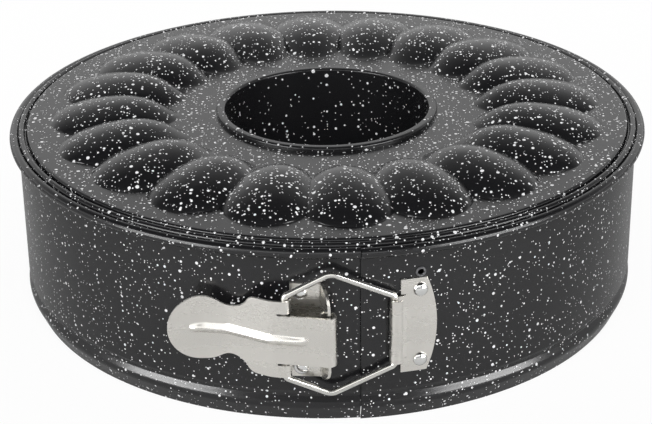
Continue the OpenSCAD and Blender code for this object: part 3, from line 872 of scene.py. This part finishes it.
# %% Geometry Nodes helpers
def new_geometry_tree(name, inputs):
    """An empty geometry tree: a mesh in and out, and named inputs in between."""
    tree = bpy.data.node_groups.new(name, "GeometryNodeTree")
    tree.interface.new_socket("Geometry", in_out="INPUT", socket_type="NodeSocketGeometry")
    for label, kind, default in (*inputs, ("Finish", "NodeSocketMaterial", None)):
        socket = tree.interface.new_socket(label, in_out="INPUT", socket_type=kind)
        if default is not None:
            socket.default_value = default
    tree.interface.new_socket("Geometry", in_out="OUTPUT", socket_type="NodeSocketGeometry")
    return tree, tree.nodes.new("NodeGroupInput"), tree.nodes.new("NodeGroupOutput")


def end_tree(tree, geometry, ins, outs):
    """Every tree ends so: instances become real mesh, and a swept or joined mesh, which has no finish,
    gets the one that comes in.
    """
    real = node(tree, "GeometryNodeRealizeInstances")
    tree.links.new(geometry, real.inputs[0])
    coat = node(tree, "GeometryNodeSetMaterial")
    tree.links.new(real.outputs[0], coat.inputs["Geometry"])
    tree.links.new(ins.outputs["Finish"], coat.inputs["Material"])
    tree.links.new(coat.outputs[0], outs.inputs[0])


def run_tree(made, tree, values):
    """Puts the tree on the object, sets its named inputs, and keeps the result as a plain mesh."""
    modifier = made.modifiers.new(tree.name, "NODES")
    modifier.node_group = tree
    sockets = {s.name: s.identifier for s in tree.interface.items_tree if s.in_out == "INPUT"}
    for label, value in values.items():
        modifier[sockets[label]] = value
    return as_plain_mesh(made)


# %% Rule of the flutes
def flute_radius(tree, value, along, width, swing):
    """How far out a point of the grid goes: inside its flute, or on the way to the plain circles."""
    outward = maths(tree, "GREATER_THAN", along, 0)
    to_rim = maths(tree, "SUBTRACT", value["Outer radius"], value["Top radius"])
    to_tube = maths(tree, "SUBTRACT", value["Top radius"], value["Inner radius"])
    reach = maths(tree, "MULTIPLY_ADD", outward, maths(tree, "SUBTRACT", to_rim, to_tube), to_tube)
    reach = maths(tree, "MULTIPLY", reach, width)
    pressed = maths(tree, "MULTIPLY_ADD", swing, reach, value["Top radius"])
    margin = MARGIN_ROWS / HALF_ROWS
    beyond = maths(tree, "DIVIDE", maths(tree, "SUBTRACT", maths(tree, "ABSOLUTE", along), 1), margin)
    beyond = maths(tree, "POWER", held(tree, beyond, 0, 1), 2.5)
    circle = maths(tree, "MULTIPLY_ADD", outward, OUTER_CIRCLE - INNER_CIRCLE, INNER_CIRCLE)
    return outward, maths(tree, "MULTIPLY_ADD", maths(tree, "SUBTRACT", circle, pressed), beyond, pressed)


def flute_lift(tree, value, width, swing, outward):
    """How high a point rises: a dome over its flute, soft at the top and at the feet."""
    squared = maths(tree, "MULTIPLY", swing, swing)
    widest = maths(tree, "MULTIPLY", width, width)
    depth = maths(tree, "MULTIPLY", widest, maths(tree, "SUBTRACT", 1, squared))
    soft = maths(tree, "DIVIDE", maths(tree, "MULTIPLY", depth, depth), maths(tree, "ADD", depth, 0.05))
    rounding = maths(tree, "MULTIPLY_ADD", outward, OUTER_FOOT_POWER - INNER_FOOT_POWER, INNER_FOOT_POWER)
    power = maths(tree, "MULTIPLY_ADD", squared, rounding, TOP_POWER)
    lobe = maths(tree, "POWER", maths(tree, "MAXIMUM", soft, 0), power)
    return maths(tree, "MULTIPLY", lobe, value["Height"])


# %% Flute tree
def flute_tree():
    """A ring of pressed flutes, welded to the mesh that comes in."""
    tree, ins, outs = new_geometry_tree("Pressed flutes", [
        ("Flutes", "NodeSocketInt", FLUTES), ("Phase", "NodeSocketFloat", PHASE),
        *((label, "NodeSocketFloat", size) for label, size in FLUTE_SIZES.items()),
        ("Floor height", "NodeSocketFloat", FLOOR_Z), ("Steps per flute", "NodeSocketInt", PER_FLUTE)])
    value = ins.outputs
    columns = maths(tree, "MULTIPLY", value["Flutes"], value["Steps per flute"])
    grid = node(tree, "GeometryNodeMeshGrid")
    tree.links.new(maths(tree, "ADD", columns, 1), grid.inputs["Vertices X"])
    grid.inputs["Vertices Y"].default_value = 2 * (HALF_ROWS + MARGIN_ROWS) + 1
    spot = node(tree, "ShaderNodeSeparateXYZ")
    tree.links.new(node(tree, "GeometryNodeInputPosition").outputs[0], spot.inputs[0])

    turns = maths(tree, "MULTIPLY", maths(tree, "ADD", spot.outputs["X"], 0.5), value["Flutes"])
    across = maths(tree, "MULTIPLY_ADD", maths(tree, "FRACT", maths(tree, "ADD", turns, 1e-4)), 2, -1)
    sunk = maths(tree, "MULTIPLY", value["Valley"], maths(tree, "MULTIPLY", across, across))
    width = maths(tree, "SQRT", maths(tree, "SUBTRACT", 1, sunk))
    along = maths(tree, "MULTIPLY", spot.outputs["Y"], 2 * (HALF_ROWS + MARGIN_ROWS) / HALF_ROWS)
    swing = maths(tree, "SINE", maths(tree, "MULTIPLY", held(tree, along, -1, 1), math.pi / 2))
    outward, radius = flute_radius(tree, value, along, width, swing)
    lift = flute_lift(tree, value, width, swing, outward)

    angle = maths(tree, "DIVIDE", maths(tree, "SUBTRACT", turns, 0.5), value["Flutes"])
    angle = maths(tree, "MULTIPLY_ADD", angle, 360, maths(tree, "SUBTRACT", value["Phase"], 90))
    angle = maths(tree, "MULTIPLY", angle, math.pi / 180)
    place = node(tree, "ShaderNodeCombineXYZ")
    tree.links.new(maths(tree, "MULTIPLY", radius, maths(tree, "COSINE", angle)), place.inputs[0])
    tree.links.new(maths(tree, "MULTIPLY", radius, maths(tree, "SINE", angle)), place.inputs[1])
    tree.links.new(maths(tree, "ADD", lift, value["Floor height"]), place.inputs[2])
    metres = node(tree, "ShaderNodeVectorMath", operation="SCALE")
    metres.inputs["Scale"].default_value = MM
    tree.links.new(place.outputs[0], metres.inputs[0])

    bend_grid = node(tree, "GeometryNodeSetPosition")
    tree.links.new(grid.outputs["Mesh"], bend_grid.inputs["Geometry"])
    tree.links.new(metres.outputs[0], bend_grid.inputs["Position"])
    join = node(tree, "GeometryNodeJoinGeometry")
    tree.links.new(bend_grid.outputs[0], join.inputs[0])
    tree.links.new(value["Geometry"], join.inputs[0])
    weld = node(tree, "GeometryNodeMergeByDistance")
    weld.inputs["Distance"].default_value = 0.02 * MM
    tree.links.new(join.outputs[0], weld.inputs["Geometry"])
    end_tree(tree, weld.outputs[0], ins, outs)
    return tree


# %% Turned edge and collar
FLUTE_COLLAR_R = 45.8


def dish_edge():
    """The rolled edge outside the flutes and the collar inside them."""
    start = math.radians(-180 / FLUTES + PHASE - 90)
    columns = FLUTES * PER_FLUTE
    rim = [(r, z + BEAD_Z) for r, z in [(OUTER_CIRCLE, FLOOR_RISE), (122.0, FLOOR_RISE)] + edge_path()]
    collar = bent([(INNER_CIRCLE, FLOOR_Z), (54.0, FLOOR_Z), (FLUTE_COLLAR_R, FLOOR_Z),
                   (FLUTE_COLLAR_R, FLOOR_TOP + 1.1)], 0.5, 5)
    return together(lathe(rim, columns, start, closed=False), lathe(collar, columns, start, closed=False))


fluted_dish = link_mesh("fluted_dish", *dish_edge(), dish_enamel, "coating_fluted_base")
run_tree(fluted_dish, flute_tree(), {
    **FLUTE_SIZES, "Flutes": FLUTES, "Phase": PHASE, "Floor height": FLOOR_Z,
    "Steps per flute": PER_FLUTE, "Finish": dish_enamel})
print("fluted sheet:", len(fluted_dish.data.polygons), "faces")

# %% Thickness of the dish
SHARP_DISH = 50.0
skin = outwards(fluted_dish, open_sheet=True).modifiers.new("sheet", "SOLIDIFY")
skin.thickness = BASE_SHEET * MM
skin.offset = 0.0
as_plain_mesh(fluted_dish)
finish_mesh(fluted_dish, dish_enamel, SHARP_DISH)
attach(fluted_dish, "ring")
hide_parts("fluted_base")
print("fluted dish:", len(fluted_dish.data.polygons), "faces")

# %% [markdown]
# ## The latch
#
# The bracket, the lever and the keeper are stamped from sheet. Their solids have the right shape but
# knife-sharp edges, and a real stamping's edges are a little round and catch the light. They could be
# modelled again, but the solids already hold every bend and slot. So each gets a copy of its solid,
# welded and with a narrow bevel along the sharp edges.

# %% Stamped pieces
WELD = 0.002
EDGE_ROUND = 0.14
FLAT_WITHIN = 0.5
SHARP_STAMPED = 40.0


def stamped(name, cad, body):
    """A copy of a CAD node's mesh with its sharp edges slightly rounded."""
    made = new_object(name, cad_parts[cad].data.copy())
    work = bmesh.new()
    work.from_mesh(made.data)
    bmesh.ops.remove_doubles(work, verts=work.verts, dist=WELD * MM)
    bmesh.ops.dissolve_degenerate(work, edges=work.edges, dist=WELD * MM)
    bmesh.ops.dissolve_limit(
        work, angle_limit=math.radians(FLAT_WITHIN), verts=work.verts, edges=work.edges)
    bend = math.radians(SHARP_STAMPED)
    sharp = [e for e in work.edges if len(e.link_faces) == 2 and e.calc_face_angle(0.0) > bend]
    bmesh.ops.bevel(work, geom=sharp, offset=EDGE_ROUND * MM, segments=2, profile=0.5, affect="EDGES",
                    clamp_overlap=True)
    bmesh.ops.triangulate(work, faces=[f for f in work.faces if len(f.verts) > 4])
    work.to_mesh(made.data)
    work.free()
    finish_mesh(made, latch_metal, SHARP_STAMPED)
    made.modifiers.new("even shading", "WEIGHTED_NORMAL").keep_sharp = True
    as_plain_mesh(made)
    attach(made, body)
    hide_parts(cad)
    print(name, "sharp edges rounded:", len(sharp), "faces:", len(made.data.polygons))


stamped("bracket_sheet", "latch_bracket", "ring")
stamped("keeper_sheet", "keeper_plate", "ring")
stamped("lever_sheet", "latch_lever", "lever")

# %% [markdown]
# The wire loop is a bent wire, closed where it hides in the keeper's curl. A Bezier curve with a round
# bevel would do, but its corners are hard to bend to one radius. So its middle line is drawn as a
# chain of points with true bends, and a short tree sweeps a circle along it.

# %% Wire line
WIRE = 2.5
LATCH_Z = 40.2
LEVER_TILT = math.atan(0.186)
PIVOT = np.array([-0.4, -138.7])
LEVER_DIR = np.array([-math.cos(LEVER_TILT), math.sin(LEVER_TILT)])
LEVER_IN = np.array([math.sin(LEVER_TILT), math.cos(LEVER_TILT)])
LEVER_FACE = 2.75
TAB_REACH = 16.2
TAB_INSET = 2.0
BAIL_LEFT = PIVOT - LEVER_FACE * LEVER_IN + TAB_REACH * LEVER_DIR + TAB_INSET * LEVER_IN
BAIL_RIGHT = np.array([24.3, -132.1])
LEFT_HALF = 17
KNEE_AT = 17.1
KNEE_HALF = 25.2
RIGHT_HALF = 14.5


def wire_line():
    """The closed middle line of the wire, in its own plane, then stood up in the latch."""
    length = np.linalg.norm(BAIL_RIGHT - BAIL_LEFT)
    along = unit(BAIL_RIGHT - BAIL_LEFT)
    lower = [(0, -LEFT_HALF), (KNEE_AT, -KNEE_HALF), (length, -RIGHT_HALF)]
    corners = lower + [(x, -z) for x, z in lower[::-1]]
    flat = []
    for i, radius in enumerate((2, 5, 2, 2, 5, 2)):
        around = [corners[i - 1], corners[i], corners[(i + 1) % len(corners)]]
        flat += bent(around, radius, 12)[1:-1]
    return [(BAIL_LEFT[0] + along[0] * p[0], BAIL_LEFT[1] + along[1] * p[0], LATCH_Z + p[1]) for p in flat]


# %% Wire tree
def wire_tree():
    """Sweeps a round wire along the chain of points that comes in."""
    tree, ins, outs = new_geometry_tree("Bent wire", [("Diameter", "NodeSocketFloat", WIRE * MM)])
    line = node(tree, "GeometryNodeMeshToCurve")
    tree.links.new(ins.outputs["Geometry"], line.inputs[0])
    circle = node(tree, "GeometryNodeCurvePrimitiveCircle", mode="RADIUS")
    circle.inputs["Resolution"].default_value = 28
    tree.links.new(maths(tree, "MULTIPLY", ins.outputs["Diameter"], 0.5), circle.inputs["Radius"])
    sweep = node(tree, "GeometryNodeCurveToMesh")
    tree.links.new(line.outputs[0], sweep.inputs["Curve"])
    tree.links.new(circle.outputs["Curve"], sweep.inputs["Profile Curve"])
    end_tree(tree, sweep.outputs[0], ins, outs)
    return tree


# %% Wire
points = wire_line()
wire_mesh = bpy.data.meshes.new("bail_wire")
wire_mesh.from_pydata([tuple(c * MM for c in p) for p in points],
                      [(i, (i + 1) % len(points)) for i in range(len(points))], [])
bail_wire = new_object("bail_wire", wire_mesh)
print("wire's length in mm:", round(sum(math.dist(a, b) for a, b in zip(points, points[1:] + points[:1]))))
run_tree(bail_wire, wire_tree(), {"Diameter": WIRE * MM, "Finish": wire_metal})
finish_mesh(outwards(bail_wire), wire_metal)
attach(bail_wire, "bail")
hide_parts("wire_bail")
print("wire:", len(bail_wire.data.polygons), "faces")

# %% [markdown]
# The four rivets are alike, so instead of four modelled heads one rivet is made once and set on four
# points. Each point carries the direction in which its head looks. A flat ring of metal on the inside
# of the wall closes each rivet, as the hammer leaves it.

# %% Parts of a rivet
RIVET_SIZES = {"Head diameter": 5.6 * MM, "Head height": 1.5 * MM, "Shank diameter": 3 * MM,
               "Shank length": 2.4 * MM}
SHANK_INTO_HEAD = 0.3
TAIL_WIDER = 1.8
TAIL_THICK = 0.7
TAIL_FROM_END = 1.0


def rivet_head(tree, value):
    """A ball with its lower half pressed flat and its upper half pressed to the head's height."""
    ball = node(tree, "GeometryNodeMeshUVSphere")
    ball.inputs["Segments"].default_value = 40
    ball.inputs["Rings"].default_value = 24
    ball.inputs["Radius"].default_value = 1.0
    spot = node(tree, "ShaderNodeSeparateXYZ")
    tree.links.new(node(tree, "GeometryNodeInputPosition").outputs[0], spot.inputs[0])
    half = maths(tree, "MULTIPLY", value["Head diameter"], 0.5)
    dome = node(tree, "ShaderNodeCombineXYZ")
    tree.links.new(maths(tree, "MULTIPLY", spot.outputs["X"], half), dome.inputs[0])
    tree.links.new(maths(tree, "MULTIPLY", spot.outputs["Y"], half), dome.inputs[1])
    risen = maths(tree, "MULTIPLY", maths(tree, "MAXIMUM", spot.outputs["Z"], 0), value["Head height"])
    tree.links.new(risen, dome.inputs[2])
    head = node(tree, "GeometryNodeSetPosition")
    tree.links.new(ball.outputs["Mesh"], head.inputs["Geometry"])
    tree.links.new(dome.outputs[0], head.inputs["Position"])
    return head.outputs[0]


def drum(tree, diameter, length, top):
    """A short cylinder that hangs from its top."""
    made = node(tree, "GeometryNodeMeshCylinder")
    made.inputs["Vertices"].default_value = 32
    tree.links.new(maths(tree, "MULTIPLY", diameter, 0.5), made.inputs["Radius"])
    feed(tree, length, made.inputs["Depth"])
    down = node(tree, "ShaderNodeCombineXYZ")
    tree.links.new(maths(tree, "MULTIPLY_ADD", length, -0.5, top), down.inputs[2])
    moved = node(tree, "GeometryNodeTransform")
    tree.links.new(made.outputs["Mesh"], moved.inputs["Geometry"])
    tree.links.new(down.outputs[0], moved.inputs["Translation"])
    return moved.outputs[0]


# %% Rivet tree
def rivet_tree():
    """A domed head, a shank and a flat end on every point, turned to the point's own direction."""
    tree, ins, outs = new_geometry_tree(
        "Domed rivets", [(label, "NodeSocketFloat", size) for label, size in RIVET_SIZES.items()])
    value = ins.outputs
    shank = drum(tree, value["Shank diameter"], value["Shank length"], SHANK_INTO_HEAD * MM)
    tail_wide = maths(tree, "ADD", value["Shank diameter"], TAIL_WIDER * MM)
    tail_top = maths(tree, "SUBTRACT", TAIL_FROM_END * MM, value["Shank length"])
    tail = drum(tree, tail_wide, TAIL_THICK * MM, tail_top)
    one = node(tree, "GeometryNodeJoinGeometry")
    for part in (rivet_head(tree, value), shank, tail):
        tree.links.new(part, one.inputs[0])
    aim = node(tree, "GeometryNodeInputNamedAttribute", data_type="FLOAT_VECTOR")
    aim.inputs["Name"].default_value = "head_looks"
    turned = node(tree, "FunctionNodeAlignRotationToVector", axis="Z")
    tree.links.new(aim.outputs[0], turned.inputs["Vector"])
    seats = node(tree, "GeometryNodeMeshToPoints")
    tree.links.new(value["Geometry"], seats.inputs[0])
    put = node(tree, "GeometryNodeInstanceOnPoints")
    tree.links.new(seats.outputs[0], put.inputs["Points"])
    tree.links.new(one.outputs[0], put.inputs["Instance"])
    tree.links.new(turned.outputs[0], put.inputs["Rotation"])
    end_tree(tree, put.outputs[0], ins, outs)
    return tree


# %% Rivets
# Each row: the axis and the radius of the wall that the plate lies on, the rivet's place along X, the
# height of the plate's face over the wall, and how far the two rivets are above and below the latch.
BRACKET_RIVETS = (np.zeros(2), WALL_R, -10.6, 1.1, 15.7)
KEEPER_RIVETS = (LAP_CENTRE, LAP_R, 33.7, 0.9, 14.7)


def rivet_seats():
    """Where the heads' undersides lie, and where the heads look."""
    seats = []
    for sign in (1, -1):
        for centre, radius, x, plate, rise in (BRACKET_RIVETS, KEEPER_RIVETS):
            a = math.asin((x - centre[0]) / radius)
            out = np.array([math.sin(a), -math.cos(a), 0.0])
            seats.append((out * (radius + plate) + np.array([*centre, LATCH_Z + sign * rise]), out))
    return seats


seats = rivet_seats()
rivet_mesh = bpy.data.meshes.new("dome_rivets")
rivet_mesh.from_pydata([tuple(p * MM) for p, out in seats], [], [])
looks = rivet_mesh.attributes.new("head_looks", "FLOAT_VECTOR", "POINT")
for item, (p, out) in zip(looks.data, seats):
    item.vector = out
dome_rivets = new_object("dome_rivets", rivet_mesh)
run_tree(dome_rivets, rivet_tree(), {**RIVET_SIZES, "Finish": rivet_metal})
finish_mesh(outwards(dome_rivets), rivet_metal)
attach(dome_rivets, "ring")
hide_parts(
    "bracket_rivet_upper", "bracket_rivet_lower", "keeper_rivet_upper", "keeper_rivet_lower")
print("rivets:", len(dome_rivets.data.polygons), "faces")

# %% [markdown]
# ## The table
#
# The tin stands on a plain white table. A plain white finish would come out grey in this light, and a
# brighter lamp would bleach the tin. So the camera sees a white that nearly glows, with a faint
# shadow, and the tin mirrors a matt table with painted shade on it, light in front and darker towards
# the back. It is only a stage, so it isn't part of the object.

# %% Table
TABLE_HALF = 6.0
TABLE_Z = -0.0002
# Painted shade on the table: where along Y it darkens, and its light and dark tones.
PAINTED_SHADE_Y = (-0.15, 0.10)
PAINTED_SHADE_TONES = (0.82, 0.46)
TABLE_WHITE = 0.95
GLOW_PART = 0.95


def table_finish():
    """White to the camera with a faint shadow. For the tin's reflections it has painted shade, darker
    behind the tin.
    """
    material, tree, shader, place = shader_start("table white")
    spot = node(tree, "ShaderNodeSeparateXYZ")
    tree.links.new(place, spot.inputs[0])
    # Painted shade: the grey that the tin mirrors runs from light in front to dark behind, as if less
    # light reached the back.
    painted_shade_level = map_range(tree, spot.outputs["Y"], PAINTED_SHADE_Y, PAINTED_SHADE_TONES)
    grey = node(tree, "ShaderNodeCombineColor")
    for socket in grey.inputs[:3]:
        tree.links.new(painted_shade_level, socket)
    tree.links.new(grey.outputs[0], shader.inputs["Base Color"])
    shader.inputs["Roughness"].default_value = 0.8
    paper = node(tree, "ShaderNodeBsdfDiffuse")
    paper.inputs["Color"].default_value = (TABLE_WHITE, TABLE_WHITE, TABLE_WHITE, 1.0)
    glow = node(tree, "ShaderNodeEmission")
    glow.inputs["Strength"].default_value = 1.0
    seen = node(tree, "ShaderNodeMixShader")
    seen.inputs["Fac"].default_value = GLOW_PART
    tree.links.new(paper.outputs[0], seen.inputs[1])
    tree.links.new(glow.outputs[0], seen.inputs[2])
    surface = tree.nodes["Material Output"].inputs["Surface"]
    tree.links.new(for_camera(tree, seen, shader), surface)
    return material


table = stage_sheet("table", TABLE_HALF, (-TABLE_HALF, TABLE_HALF), TABLE_Z, FACE_UP, table_finish())
print("table:", 2 * TABLE_HALF, "m wide")
